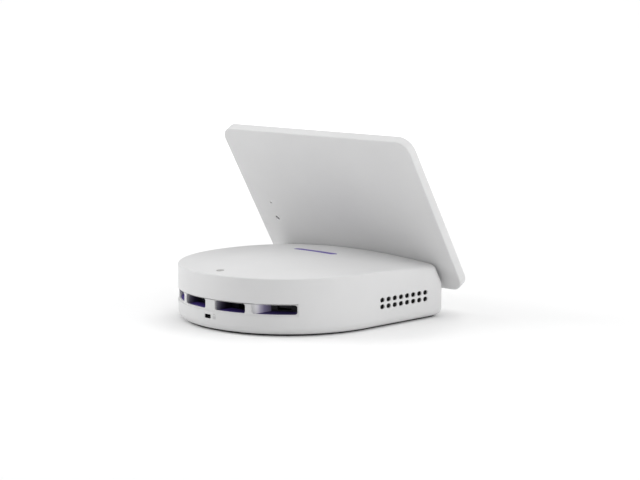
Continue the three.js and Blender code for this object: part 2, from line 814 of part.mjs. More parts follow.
function displayBackCover() {
  const outside = loft([
    displayRing(0.9, 0),
    displayRing(0.26, 0.26),
    displayRing(0, 0.9),
    displayRing(0, DISPLAY_THICK - 0.5),
    displayRing(0.4, DISPLAY_THICK),
  ]);
  const bosses = BRACKET_SCREW_X.map((x) =>
    bar("z", [TRAY_FLOOR - 0.2, 3.1], [x, BRACKET_SCREW_S], 3.4, 12),
  );
  const holes = BRACKET_SCREW_X.map((x) => bar("z", [-1, 5], [x, BRACKET_SCREW_S], SCREW_HOLE, 10));
  const slot = toGeometry(prism(roundedRectangle([-1.2, 1.2], [-2.6, 2.6], 1.18), [-1, 3], 3));
  slot.rotateZ(-Math.PI / 4);
  slot.translate(...INFRARED, 0);
  return cut(
    unite(outside.subtract(displaySlab(TRAY_WALL, [TRAY_FLOOR, 20])), ...bosses),
    ...holes,
    toSolid(slot),
    bar("z", [-1, 3], PINHOLE, 0.9, 10),
    box([-16, 16], [-14, -6], [-1, 3]),
  );
}

function middleFrame() {
  const sheet = prism(roundedRectangle([-110, 110], [0, 120], 4), [2.1, 3.1], 3);
  const notch = box([84, 104], [20, 56], [0, 5]);
  return sheet.subtract(notch);
}

function displayBracket() {
  const plate = prism(roundedRectangle([-68, 68], [-19, -6.4], 3), [-4.4, -2.9], 3);
  const holes = BRACKET_SCREW_X.map((x) => bar("z", [-8, 3], [x, BRACKET_SCREW_S], SCREW_HOLE, 10));
  return cut(plate, box([-18, 18], [-14, -8.6], [-8, 3]), ...holes);
}

// The flat cable, a thin strip: from the main board up through the wall, then down inside the display.
function displayCable() {
  const thick = 0.4;
  const inBase = [
    [-20, 15.8],
    [-28, 16.6],
    [-50, 24],
    [-70, 32],
    [-79, 35.9],
  ].map(([y, z]) => new THREE.Vector3(0, y, z));
  const inDisplay = [
    [-10, -6],
    [-10, -2],
    [-10.4, 1],
    [-12.6, 2.6],
    [-20.5, 2.6],
  ].map(([s, t]) => new THREE.Vector3(0, s, t).applyMatrix4(leaning));
  const path = new THREE.CatmullRomCurve3([...inBase, ...inDisplay], false, "centripetal");
  const section = new THREE.Shape();
  section.moveTo(-9, -thick / 2);
  section.lineTo(9, -thick / 2);
  section.lineTo(9, thick / 2);
  section.lineTo(-9, thick / 2);
  section.closePath();
  const settings = { steps: 30, bevelEnabled: false, extrudePath: path };
  return toSolid(new THREE.ExtrudeGeometry(section, settings));
}

// ---------------------------------------------------------------- assembly
function addScrews(group, name, places, make, z) {
  places.forEach(([x, y], index) => {
    const mesh = part(name + "_" + (index + 1), make(), "steel");
    mesh.position.set(x, y, z);
    group.add(mesh);
  });
}

function buildBase() {
  const base = new THREE.Group();
  base.add(part("base_housing", baseHousing(), "white"));
  base.add(part("base_cover", baseCover(), "black"));
  base.add(part("foot_ring", footRing(), "rubber"));
  const coverScrew = () => screw(2.8, 1.6, 1.5, 9.4);
  addScrews(base, "cover_screw", mirrored(COVER_SCREWS), coverScrew, SCREW_HEAD_Z);
  base.add(part("ballast_plate", box([-54, 54], [-87.5, -32], [COVER_TOP_Z + GAP, 9.6]), "steel"));
  base.add(part("main_board", mainBoard(), "board"));
  mirrored(BOARD_SCREWS).forEach(([x, y], index) => {
    const mesh = part("board_screw_" + (index + 1), screw(2.4, 1.4, 1.2, 7.4), "steel");
    mesh.rotation.x = Math.PI;
    mesh.position.set(x, y, BOARD_TOP_Z + GAP + 1.4);
    base.add(mesh);
  });
  base.add(part("processor", box([-12, 12], [6, 30], [BOARD_TOP_Z + GAP, 16.8]), "black"));
  base.add(part("heat_sink", heatSink(), "aluminium"));
  base.add(part("shield_can", box([-62, -36], [8, 34], [BOARD_TOP_Z + GAP, 18.4]), "steel"));
  base.add(part("radio_module", box([38, 60], [8, 38], [BOARD_TOP_Z + GAP, 17.8]), "steel"));
  for (const side of [-1, 1]) {
    const end = side < 0 ? "right" : "left";
    base.add(part("antenna_" + end, box(spanX(side, [44, 76]), [48, 58], [46.6, 47.6]), "board"));
    base.add(part("speaker_box_" + end, speakerBox(side), "black"));
    base.add(part("speaker_driver_" + end, speakerDriver(side), "steel"));
    base.add(part("speaker_cone_" + end, speakerCone(side), "rubber"));
    base.add(part("vent_cloth_" + end, ventCloth(side), "black"));
  }
  base.add(part("port_bezel", portBezel(), "white"));
  base.add(part("port_bay", portBay(), "white"));
  base.add(part("inner_port_panel", innerPanel(), "black"));
  base.add(part("outer_port_panel_right", outerPanel(-1, [PORTS.usb_inner, PORTS.usb_outer]), "black"));
  base.add(part("outer_port_panel_left", outerPanel(1, [PORTS.video]), "black"));
  base.add(part("bay_light_guide", bayLightGuide(), "violet"));
  const usbTongue = [11, 1.8, 7];
  base.add(part("network_port", placeInner(socket(PORTS.network)), "steel"));
  base.add(part("power_inlet", placeInner(socket(PORTS.power)), "steel"));
  base.add(part("usb_port_inner", onOuterPanel(-1, socket(PORTS.usb_inner, usbTongue)), "steel"));
  base.add(part("usb_port_outer", onOuterPanel(-1, socket(PORTS.usb_outer, usbTongue)), "steel"));
  base.add(part("video_port", onOuterPanel(1, socket(PORTS.video, [11.6, 1, 7])), "steel"));
  base.add(part("lock_plate", lockPlate(), "steel"));
  base.add(part("light_bar_lens", lightLens(), "violet"));
  base.add(part("light_bar_board", lightBoard(), "board"));
  base.add(part("power_button", powerButton(), "aluminium"));
  base.add(part("button_switch", buttonSwitch(), "black"));
  base.add(part("button_board", box([-13, 13], [86, 102], [40, 41.2]), "board"));
  base.add(part("display_cable", displayCable(), "brass"));
  return base;
}

function buildDisplay() {
  const display = new THREE.Group();
  display.position.set(0, SCREEN_LINE_Y, RIM_Z);
  display.rotation.x = LEAN;
  const panelArea = [[-111, 111], [DISPLAY_MIDDLE - 70, DISPLAY_MIDDLE + 70]];
  display.add(part("display_back_cover", displayBackCover(), "white"));
  display.add(part("display_frame", middleFrame(), "aluminium"));
  display.add(part("display_backlight", box(...panelArea, [3.4, 4.6]), "white"));
  display.add(part("display_panel", box(...panelArea, [4.9, 6.9]), "panel"));
  display.add(part("touch_glass", displaySlab(TRAY_WALL + GAP, [7.2, 8.7]), "glass"));
  display.add(part("display_driver_board", box([-60, 60], [-31, -21], [3.4, 4.6]), "board"));
  const [px, ps] = PINHOLE;
  display.add(part("rear_microphone", box([px - 2, px + 2], [ps - 1.5, ps + 1.5], [2.1, 3.1]), "brass"));
  const [ix, is] = INFRARED;
  const infrared = box([ix - 2.4, ix + 2.4], [is - 3.6, is + 3.6], [2.1, 3.1]);
  display.add(part("infrared_window", infrared, "glass"));
  display.add(part("display_bracket", displayBracket(), "steel"));
  const places = BRACKET_SCREW_X.map((x) => [x, BRACKET_SCREW_S]);
  addScrews(display, "bracket_screw", places, () => screw(2.8, 1.6, 1.5, 9), -6.3);
  return display;
}

const group = new THREE.Group();
group.add(buildBase());
group.add(buildDisplay());
group.position.z = STAND;

export default group;
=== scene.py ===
"""The looks of a table-top smart home hub: a wide display leaning back on a low D-shaped base.

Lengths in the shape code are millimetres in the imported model's own frame, with heights counted from STAND
above the table; points() turns them into metres from the table.
"""
import json
import math

import bmesh
import bpy
import numpy as np
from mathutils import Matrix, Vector


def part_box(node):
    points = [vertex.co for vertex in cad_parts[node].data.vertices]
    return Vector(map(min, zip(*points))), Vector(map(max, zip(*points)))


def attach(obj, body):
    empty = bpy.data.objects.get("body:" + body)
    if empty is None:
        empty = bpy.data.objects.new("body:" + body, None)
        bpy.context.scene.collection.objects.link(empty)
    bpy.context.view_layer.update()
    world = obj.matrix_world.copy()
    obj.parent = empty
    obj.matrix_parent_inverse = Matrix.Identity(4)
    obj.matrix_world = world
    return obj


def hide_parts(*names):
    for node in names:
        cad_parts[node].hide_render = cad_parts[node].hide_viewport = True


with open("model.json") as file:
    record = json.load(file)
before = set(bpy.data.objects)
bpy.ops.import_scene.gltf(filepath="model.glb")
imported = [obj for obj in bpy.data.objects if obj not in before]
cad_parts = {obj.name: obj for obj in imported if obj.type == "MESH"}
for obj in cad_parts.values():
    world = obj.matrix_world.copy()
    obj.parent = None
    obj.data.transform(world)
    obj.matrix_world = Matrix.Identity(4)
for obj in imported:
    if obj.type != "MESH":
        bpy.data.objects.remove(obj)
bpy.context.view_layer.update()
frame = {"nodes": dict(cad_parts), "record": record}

MM = 0.001
STAND = 1.4
SHARP_ANGLE = 30  # degrees between faces, above which an edge is left sharp

# ------------------------------------------------------------------ camera
CAMERA_AT = (-1.17404, 1.19210, 0.31097)
CAMERA_YAW = 136.227  # degrees clockwise from +Y, seen from above
CAMERA_PITCH = 8.168  # degrees downwards
CAMERA_LENS = 101.95


def make_camera():
    data = bpy.data.cameras.new("camera")
    data.sensor_width = 36
    data.lens = CAMERA_LENS
    data.clip_start = 0.05
    data.clip_end = 200
    camera = bpy.data.objects.new("camera", data)
    camera.location = CAMERA_AT
    yaw = math.radians(CAMERA_YAW)
    pitch = math.radians(CAMERA_PITCH)
    camera.rotation_euler = (math.pi / 2 - pitch, 0, -yaw)
    bpy.context.scene.collection.objects.link(camera)
    bpy.context.scene.camera = camera


make_camera()

# ------------------------------------------------------------------ dimensions of the shell
FRONT_HALF_WIDTH = 105.5
ARC_HALF_WIDTH = 103.1
ARC_Y = 3.1
ARC_DEPTH = 106.6
REAR_POWER = 2.11
NOSE_Y = -97.45
FRONT_CORNER = 17.0
WALL = 2.6
ROOF = 2.8
GAP = 0.3
SHELL_BOTTOM_Z = 0.1
BOTTOM_INSET = 6.4
BOTTOM_RISE = 7.5
LEDGE_INSET = 9.0
RIM_Z = 50.8
DOME_Y = 4.1
DOME_RISE = 6.1
DOME_REACH = 103.0
REAR_FILLET = 1.5
SIDE_FILLET = 5.0
FRONT_FILLET = 0.6
LEAN = math.radians(59.56)
SCREEN_LINE_Y = -85.15
BAND_ANGLE = math.radians(47.2)
BAND_Z = (16.9, 27.9)
BAND_SEAM = 0.7
BEZEL_INSETS = (0.75, 2.55)
WINDOW_Z = (18.4, 27.0)
WINDOW_CORNER = 2.0
WINDOWS = ((-76.8, -43.6), (-38.2, -6.2), (6.2, 38.2), (43.6, 76.8))
OUTER_BAYS_FROM = 41.0
VENT_Y = [-6.8 - 8.19 * i for i in range(8)]
VENT_Z = (18.2, 24.35)
VENT_SIZE = (5.9, 4.4)
LIGHT_Y = -27.0
LIGHT_SIZE = (54.0, 10.0)
LIGHT_FLANGE = (58.0, 13.0)
LIGHT_FLANGE_Z = (50.7, 52.5)
BUTTON_Y = 95.9
BUTTON_RADIUS = 3.5
LOCK_AT = (2.1, 11.8)
LOCK_SIZE = (7.5, 3.6)
COVER_SCREWS = ((88.5, 6), (84, -84), (40, 87.2))
BRACKET_SCREW_X = (-62, -34, 34, 62)
BRACKET_SCREW_S = -11.5
DISPLAY_WIDTH = 240.0
DISPLAY_S = (-33.3, 134.1)
DISPLAY_THICK = 8.9
DISPLAY_CORNER = 14.0
SCREEN_HALF = (111.0, 70.0)
PINHOLE = (94.2, 47.0)
PINHOLE_WIDTH = 1.8
INFRARED = (94.2, 28.4)
INFRARED_SIZE = (2.4, 5.2)
INFRARED_TURN = -45  # degrees


# ------------------------------------------------------------------ mesh helpers
def points(coords):
    return [(float(x) * MM, float(y) * MM, (float(z) + STAND) * MM) for x, y, z in coords]


def new_object(name, coords, faces):
    mesh = bpy.data.meshes.new(name)
    mesh.from_pydata(points(coords), [], faces)
    mesh.validate()
    obj = bpy.data.objects.new(name, mesh)
    bpy.context.scene.collection.objects.link(obj)
    return obj


def outward(obj):
    bm = bmesh.new()
    bm.from_mesh(obj.data)
    bmesh.ops.recalc_face_normals(bm, faces=bm.faces)
    bm.to_mesh(obj.data)
    bm.free()
    return obj


def loft(name, rings, closed_loop=False):
    """A body through rings of equal length; an open run is closed at each end by a fan on its middle."""
    count = len(rings[0])
    coords = [p for ring in rings for p in ring]
    faces = []
    last = len(rings) if closed_loop else len(rings) - 1
    for r in range(last):
        a = r * count
        b = ((r + 1) % len(rings)) * count
        for i in range(count):
            j = (i + 1) % count
            faces.append((a + i, a + j, b + j, b + i))
    ends = () if closed_loop else ((0, True), (len(rings) - 1, False))
    for ring, flip in ends:
        middle = len(coords)
        coords.append(np.mean(np.array(rings[ring]), axis=0))
        for i in range(count):
            a = ring * count + i
            b = ring * count + (i + 1) % count
            faces.append((middle, b, a) if flip else (middle, a, b))
    return outward(new_object(name, coords, faces))


def applied(obj):
    """Bakes the object's modifiers into its mesh."""
    graph = bpy.context.evaluated_depsgraph_get()
    made = bpy.data.meshes.new_from_object(obj.evaluated_get(graph))
    old = obj.data
    obj.modifiers.clear()
    obj.data = made
    made.name = obj.name
    bpy.data.meshes.remove(old)
    return obj


def joined(name, objects):
    bm = bmesh.new()
    for obj in objects:
        bm.from_mesh(obj.data)
        bpy.data.meshes.remove(obj.data)
    mesh = bpy.data.meshes.new(name)
    bm.to_mesh(mesh)
    bm.free()
    whole = bpy.data.objects.new(name, mesh)
    bpy.context.scene.collection.objects.link(whole)
    return whole


def cut(obj, tools):
    tool = joined("tool", tools)
    change = obj.modifiers.new("cut", "BOOLEAN")
    change.operation = "DIFFERENCE"
    change.solver = "EXACT"
    change.object = tool
    applied(obj)
    bpy.data.meshes.remove(tool.data)
    return obj


def smooth(obj):
    for polygon in obj.data.polygons:
        polygon.use_smooth = True
    obj.data.set_sharp_from_angle(angle=math.radians(SHARP_ANGLE))
    weighted = obj.modifiers.new("weighted", "WEIGHTED_NORMAL")
    weighted.weight = 80
    weighted.keep_sharp = True


def finish_piece(obj, body, slot, material, *nodes):
    """Smooths and dresses a piece, and says what it rides on and the CAD nodes it stands for; slot is not
    used.
    """
    smooth(obj)
    obj.data.materials.clear()
    obj.data.materials.append(material)
    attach(obj, body)
    if nodes:
        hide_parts(*nodes)


def rounded_outline(xs, ys, radius, steps=8):
    """Points of a rounded rectangle, counter-clockwise."""
    made = []
    corners = (
        (xs[1] - radius, ys[0] + radius, -90),
        (xs[1] - radius, ys[1] - radius, 0),
        (xs[0] + radius, ys[1] - radius, 90),
        (xs[0] + radius, ys[0] + radius, 180),
    )
    for cx, cy, start in corners:
        for i in range(steps + 1):
            a = math.radians(start + 90 * i / steps)
            made.append((cx + radius * math.cos(a), cy + radius * math.sin(a)))
    return made


def oval_outline(centre, size, steps=28, power=2.0):
    made = []
    for i in range(steps):
        a = 2 * math.pi * i / steps
        c, s = math.cos(a), math.sin(a)
        x = size[0] / 2 * math.copysign(abs(c) ** (2 / power), c)
        y = size[1] / 2 * math.copysign(abs(s) ** (2 / power), s)
        made.append((centre[0] + x, centre[1] + y))
    return made


def flared_tool(outline, place, lip, deep):
    """A cutter that leaves a rounded lip.

    outline(offset) gives the mouth, and place(u, v, depth) a point of it in space.
    """
    above, steps = 2.0, 5
    first = math.radians(14)
    rings = [(-above, lip * 1.1)]
    for i in range(steps + 1):
        a = first + (math.pi / 2 - first) * i / steps
        rings.append((lip * (1 - math.cos(a)), lip * (1 - math.sin(a))))
    rings.append((deep, 0.0))
    return loft("tool", [[place(u, v, depth) for u, v in outline(off)] for depth, off in rings])


# ------------------------------------------------------------------ the shape of the base
STRETCHES = (
    ("rear", 176),
    ("left", 22),
    ("left_corner", 22),
    ("front", 30),
    ("right_corner", 22),
    ("right", 22),
)
PLACES = [(name, i / steps) for name, steps in STRETCHES for i in range(steps)]


def lerp(a, b, t):
    return a + (b - a) * t


def eased(t):
    return t * t * (3 - 2 * t)


def dome_z(x, y):
    return RIM_Z + DOME_RISE * (1 - (x * x + (y - DOME_Y) ** 2) / DOME_REACH**2)


def front_y(z):
    leaning = SCREEN_LINE_Y + (z - RIM_Z) / math.tan(LEAN) + GAP / math.sin(LEAN)
    return max(NOSE_Y, leaning)


def side_face(y):
    """Half the width of the base between its straight sides, at a given y."""
    slope = (ARC_HALF_WIDTH - FRONT_HALF_WIDTH) / (ARC_Y - (NOSE_Y + FRONT_CORNER))
    return ARC_HALF_WIDTH + (y - ARC_Y) * slope


def base_point(stretch, part, inset, z):
    front = front_y(z)
    corner = max(FRONT_CORNER, inset + 0.5)
    corner_x = FRONT_HALF_WIDTH - corner
    corner_y = front + corner
    if stretch == "rear":
        angle = math.pi * part
        power = 2 / REAR_POWER
        across = math.copysign(abs(math.cos(angle)) ** power, math.cos(angle))
        along = abs(math.sin(angle)) ** power
        return (ARC_HALF_WIDTH - inset) * across, ARC_Y + (ARC_DEPTH - inset) * along
    if stretch == "left":
        x = lerp(ARC_HALF_WIDTH, FRONT_HALF_WIDTH, part) - inset
        return -x, lerp(ARC_Y, corner_y, part)
    if stretch == "right":
        x = lerp(FRONT_HALF_WIDTH, ARC_HALF_WIDTH, part) - inset
        return x, lerp(corner_y, ARC_Y, part)
    if stretch == "front":
        return lerp(-corner_x, corner_x, part), front + inset
    side = -1 if stretch == "left_corner" else 1
    start = math.pi if side < 0 else 1.5 * math.pi
    turn = start + math.pi / 2 * part
    radius = corner - inset
    return side * corner_x + radius * math.cos(turn), corner_y + radius * math.sin(turn)


def fillet_radius(stretch, part):
    if stretch == "rear":
        return REAR_FILLET
    if stretch == "left":
        return lerp(REAR_FILLET, SIDE_FILLET, eased(part))
    if stretch == "right":
        return lerp(SIDE_FILLET, REAR_FILLET, eased(part))
    if stretch == "front":
        return FRONT_FILLET
    towards_front = part if stretch == "left_corner" else 1 - part
    return lerp(SIDE_FILLET, FRONT_FILLET, eased(towards_front))


def ring(inset, z):
    return [(*base_point(s, p, inset, z), z) for s, p in PLACES]


def edge_height(stretch, part, inset):
    z = RIM_Z
    for _ in range(4):
        z = dome_z(*base_point(stretch, part, inset, z))
    return z


def fillet_ring(turn, inner=0.0, drop=0.0, fixed=None):
    """One ring of the round between wall and dome; it ends tangent to the dome."""
    made = []
    slope = math.atan(2 * DOME_RISE / DOME_REACH)
    last = math.pi / 2 - slope
    for stretch, part in PLACES:
        radius = fillet_radius(stretch, part) if fixed is None else fixed
        end = inner + radius * (1 - math.cos(last))
        low = edge_height(stretch, part, end) - drop - radius * math.sin(last)
        angle = last * turn
        inset = inner + radius * (1 - math.cos(angle))
        z = low + radius * math.sin(angle)
        made.append((*base_point(stretch, part, inset, z), z))
    return made


def dome_ring(edge, share, drop=0.0):
    made = []
    for x, y, _ in edge:
        px, py = x * share, DOME_Y + (y - DOME_Y) * share
        made.append((px, py, dome_z(px, py) - drop))
    return made


def quarter(steps):
    return [i / steps for i in range(steps + 1)]


def outer_rings():
    nose_top = RIM_Z + (NOSE_Y - SCREEN_LINE_Y - GAP / math.sin(LEAN)) * math.tan(LEAN)
    rings = []
    for turn in quarter(7):
        angle = turn * math.pi / 2
        inset = BOTTOM_INSET * (1 - math.sin(angle))
        rings.append(ring(inset, SHELL_BOTTOM_Z + BOTTOM_RISE * (1 - math.cos(angle))))
    rings += [ring(0, 12), ring(0, 20), ring(0, nose_top), ring(0, 36), ring(0, 41)]
    rings += [fillet_ring(turn) for turn in quarter(9)]
    rings += [dome_ring(rings[-1], s) for s in (0.975, 0.93, 0.86, 0.76, 0.64, 0.5, 0.34, 0.17)]
    return rings


def inner_rings():
    rings = [ring(LEDGE_INSET, SHELL_BOTTOM_Z), ring(LEDGE_INSET, 4.9), ring(WALL, 7.3), ring(WALL, 32)]
    rings += [fillet_ring(turn, WALL, ROOF, 2.4) for turn in quarter(3)]
    rings += [dome_ring(rings[-1], s, ROOF) for s in (0.9, 0.7, 0.45, 0.2)]
    return rings


def rear_y(x, inset):
    a = ARC_HALF_WIDTH - inset
    b = ARC_DEPTH - inset
    share = max(0.0, 1 - abs(x / a) ** REAR_POWER)
    return ARC_Y + b * share ** (1 / REAR_POWER)


def rear_point(angle, inset):
    a = ARC_HALF_WIDTH - inset
    b = ARC_DEPTH - inset
    s, c = math.sin(angle), math.cos(angle)
    reach = (abs(s / a) ** REAR_POWER + abs(c / b) ** REAR_POWER) ** (-1 / REAR_POWER)
    return reach * s, ARC_Y + reach * c


def arc_block(name, angle, insets, zs, round_by=0.0):
    """A bar of rectangular section, its upper outer edge rounded, bent along the round rear wall."""
    near, far = insets
    z0, z1 = zs
    section = [(near, z0), (far, z0), (far, z1)]
    if round_by:
        shoulder = 0.3 * round_by
        section += [(near + round_by, z1), (near + shoulder, z1 - shoulder), (near, z1 - round_by)]
    else:
        section.append((near, z1))
    steps = 110
    rings = []
    for i in range(steps + 1):
        phi = -angle + 2 * angle * i / steps
        rings.append([(*rear_point(phi, inset), z) for inset, z in section])
    return loft(name, rings)


def leaning(x, s, t):
    """A point of the display's own frame: across, up the slope, out of the screen."""
    y = SCREEN_LINE_Y + s * math.cos(LEAN) - t * math.sin(LEAN)
    return x, y, RIM_Z + s * math.sin(LEAN) + t * math.cos(LEAN)


def leaning_cutter(outline, low, high):
    return loft("tool", [[leaning(x, s, t) for x, s in outline] for t in (low, high)])


def bracket_cutters(low, high):
    tools = [
        leaning_cutter(oval_outline((x, BRACKET_SCREW_S), (3.6, 3.6), 20), low, high)
        for x in BRACKET_SCREW_X
    ]
    tools.append(leaning_cutter(rounded_outline((-16, 16), (-14, -6), 0.5, 2), low, high))
    return tools


def vent_tools():
    tools = []
    for side in (-1, 1):
        for y in VENT_Y:
            face = side_face(y)
            for z in VENT_Z:

                def outline(offset, at=(y, z)):
                    return oval_outline(at, (VENT_SIZE[0] + 2 * offset, VENT_SIZE[1] + 2 * offset), 28, 2.3)

                def place(u, v, depth, out=side, wall=face):
                    return out * (wall - depth), u, v

                tools.append(flared_tool(outline, place, 0.15, 5.0))
    return tools


def top_tool(outline, lip):
    return flared_tool(outline, lambda u, v, depth: (u, v, dome_z(u, v) - depth), lip, 12.0)


def pill_outline(size, centre_y, offset=0.0):
    half, radius = size[0] / 2 + offset, size[1] / 2 + offset
    return rounded_outline((-half, half), (centre_y - radius, centre_y + radius), radius - 0.001, 12)


def housing_tools():
    tools = [arc_block("tool", BAND_ANGLE, (-5, WALL + 0.6), BAND_Z)]
    tools += vent_tools()
    tools.append(top_tool(lambda off: pill_outline(LIGHT_SIZE, LIGHT_Y, off), 0.25))
    hole = 2 * (BUTTON_RADIUS + GAP)
    tools.append(
        top_tool(lambda off: oval_outline((0, BUTTON_Y), (hole + 2 * off, hole + 2 * off), 40), 0.3)
    )
    half_x, half_z = LOCK_SIZE[0] / 2, LOCK_SIZE[1] / 2

    def lock_outline(off):
        xs = (LOCK_AT[0] - half_x - off, LOCK_AT[0] + half_x + off)
        zs = (LOCK_AT[1] - half_z - off, LOCK_AT[1] + half_z + off)
        return rounded_outline(xs, zs, 0.9 + off, 6)

    tools.append(flared_tool(lock_outline, lambda u, v, d: (u, rear_y(u, 0) - d, v), 0.3, 5.0))
    tools += bracket_cutters(-8, 3)
    return tools


def build_housing():
    outer = outer_rings()
    inner = inner_rings()
    shell = loft("housing_shell", list(reversed(inner)) + outer)
    return cut(shell, housing_tools())


# ------------------------------------------------------------------ rear bezel
def window_tool(xs):
    def outline(off):
        zs = (WINDOW_Z[0] - off, WINDOW_Z[1] + off)
        return rounded_spread((xs[0] - off, xs[1] + off), zs, WINDOW_CORNER + off)

    def place(u, v, depth):
        return u, rear_y(u, BEZEL_INSETS[0]) - depth, v

    return flared_tool(outline, place, 0.5, 9.0)


def rounded_spread(xs, zs, radius):
    """A rounded rectangle with points along its long sides too, so that it can follow a curved wall."""
    steps, along = 7, 26
    corners = rounded_outline(xs, zs, radius, steps)
    per = steps + 1
    made = []
    for k in range(4):
        arc = corners[k * per : (k + 1) * per]
        made += arc
        if k % 2:
            end = corners[((k + 1) % 4) * per]
            made += [(lerp(arc[-1][0], end[0], i / along), end[1]) for i in range(1, along)]
    return made


def build_bezel():
    zs = (BAND_Z[0], BAND_Z[1] - BAND_SEAM)
    bezel = arc_block("rear_bezel", BAND_ANGLE, BEZEL_INSETS, zs, round_by=0.3)
    return cut(bezel, [window_tool(xs) for xs in WINDOWS])


# ------------------------------------------------------------------ foot and bottom
def build_foot():
    section = [
        (7.2, -1.4), (6.95, -1.22), (6.9, -0.9), (6.9, -0.2), (19.0, -0.2), (19.0, -1.0), (18.7, -1.4),
    ]
    return loft("foot_pad", [ring(inset, z) for inset, z in section], closed_loop=True)


def build_bottom():
    plate = loft("bottom_plate", [ring(9.7, 0.1), ring(9.3, 0.5), ring(9.3, 4.5)])
    tools = []
    for x, y in COVER_SCREWS:
        for side in (-1, 1):
            profile = [(3.2, -1.0), (3.2, 3.4), (1.8, 3.4), (1.8, 6.0)]
            rings = []
            for r, z in profile:
                rings.append([(px, py, z) for px, py in oval_outline((side * x, y), (2 * r, 2 * r), 24)])
            tools.append(loft("tool", rings))
    return cut(plate, tools)


# ------------------------------------------------------------------ display
def display_ring(inset, t):
    half = DISPLAY_WIDTH / 2 - inset
    ss = (DISPLAY_S[0] + inset, DISPLAY_S[1] - inset)
    return [leaning(x, s, t) for x, s in rounded_outline((-half, half), ss, DISPLAY_CORNER - inset, 14)]


def build_display_shell():
    rings = []
    edge = 1.3
    for i in range(7):
        a = math.pi / 2 * i / 6
        rings.append(display_ring(edge * (1 - math.sin(a)), edge * (1 - math.cos(a))))
    front = 0.5
    for i in range(5):
        a = math.pi / 2 * i / 4
        rings.append(display_ring(front * (1 - math.cos(a)), DISPLAY_THICK - front * (1 - math.sin(a))))
    rings.append(display_ring(1.45, DISPLAY_THICK))
    rings.append(display_ring(1.6, DISPLAY_THICK - 0.15))
    rings.append(display_ring(1.6, 1.8))
    shell = loft("display_shell", rings)
    tools = bracket_cutters(-1, 3)

    def slot(off):
        made = []
        half_width, half_length = INFRARED_SIZE[0] / 2 + off, INFRARED_SIZE[1] / 2 + off
        turn = math.radians(INFRARED_TURN)
        xs, ys = (-half_width, half_width), (-half_length, half_length)
        for u, v in rounded_outline(xs, ys, half_width - 0.001):
            made.append((
                INFRARED[0] + u * math.cos(turn) - v * math.sin(turn),
                INFRARED[1] + u * math.sin(turn) + v * math.cos(turn),
            ))
        return made

    def pinhole(off):
        across = PINHOLE_WIDTH + 2 * off
        return oval_outline(PINHOLE, (across, across), 20)

    tools += [flared_tool(outline, leaning, 0.15, 3.0) for outline in (slot, pinhole)]
    return cut(shell, tools)


def build_glass():
    rings = [
        display_ring(1.9, 7.2), display_ring(1.9, 8.35), display_ring(1.95, 8.52),
        display_ring(2.08, 8.65), display_ring(2.3, 8.7),
    ]
    return loft("screen_glass", rings)


# ------------------------------------------------------------------ small parts on top
def build_lens():
    size = (LIGHT_SIZE[0] - 2 * GAP, LIGHT_SIZE[1] - 2 * GAP)

    def lens_ring(grow, depth):
        return [(x, y, dome_z(x, y) - depth) for x, y in pill_outline(size, LIGHT_Y, grow)]

    low, high = LIGHT_FLANGE_Z
    rings = [[(x, y, z) for x, y in pill_outline(LIGHT_FLANGE, LIGHT_Y)] for z in (low, high)]
    rings.append([(x, y, high) for x, y in pill_outline(size, LIGHT_Y)])
    for i in range(5):
        a = math.pi / 2 * i / 4
        rings.append(lens_ring(-0.5 * (1 - math.cos(a)), 0.55 - 0.45 * math.sin(a)))
    rings.append(lens_ring(-1.6, 0.03))
    return loft("light_lens", rings)


def build_button():
    low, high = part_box("power_button")
    base, top = low.z / MM - STAND, high.z / MM - STAND
    profile = [
        (1.8, base), (1.8, 46.7), (4.8, 46.7), (4.8, 48.2), (3.5, 48.2),
        (3.5, top - 0.6), (3.47, top - 0.4), (3.38, top - 0.2), (3.2, top - 0.06), (2.95, top),
        (2.6, top - 0.02), (1.8, top - 0.1), (0.9, top - 0.14),
    ]
    rings = [
        [(x, y, z) for x, y in oval_outline((0, BUTTON_Y), (2 * r, 2 * r), 40)]
        for r, z in profile
    ]
    return loft("button_cap", rings)


# ------------------------------------------------------------------ lock symbol
def raised(outline):
    """The buried and the outer side of something thin on the rear wall, from its (x, z) outline."""
    buried = [(x, rear_y(x, 0) - 0.1, z) for x, z in outline]
    outer = [(x, rear_y(x, 0) + 0.06, z) for x, z in outline]
    return buried, outer


def ribbon(path, width):
    """A flat raised line on the rear wall along a path of (x, z) points."""
    rings = []
    for i, (x, z) in enumerate(path):
        a, b = path[max(i - 1, 0)], path[min(i + 1, len(path) - 1)]
        dx, dz = b[0] - a[0], b[1] - a[1]
        size = math.hypot(dx, dz)
        nx, nz = -dz / size * width / 2, dx / size * width / 2
        buried, outer = raised([(x + nx, z + nz), (x - nx, z - nz)])
        rings.append(outer + buried[::-1])
    return loft("line", rings)


def build_lock_symbol():
    cx, low = -6.2, 9.95
    block = loft("line", raised(rounded_outline((cx - 1.85, cx + 1.85), (low, low + 2.6), 0.4, 4)))
    shackle = [(cx - 1.2, low + 2.5)]
    for i in range(13):
        a = math.pi * (1 - i / 12)
        shackle.append((cx + 1.2 * math.cos(a), low + 3.4 + 1.2 * math.sin(a)))
    shackle.append((cx + 1.2, low + 2.5))
    return joined("lock_symbol", [block, ribbon(shackle, 0.65)])


# ------------------------------------------------------------------ materials
def tree_of(name):
    material = bpy.data.materials.new(name)
    material.use_nodes = True
    tree = material.node_tree
    shader = tree.nodes["Principled BSDF"]
    return material, tree, shader


def add(tree, kind, **values):
    node = tree.nodes.new(kind)
    for key, value in values.items():
        if key in node.inputs:
            node.inputs[key].default_value = value
        else:
            setattr(node, key, value)
    return node


def coordinates(tree):
    return add(tree, "ShaderNodeTexCoord").outputs["Object"]


def noise(tree, scale, detail=2.0, roughness=0.5):
    node = add(tree, "ShaderNodeTexNoise", Scale=scale, Detail=detail, Roughness=roughness)
    tree.links.new(coordinates(tree), node.inputs["Vector"])
    return node.outputs["Fac"]


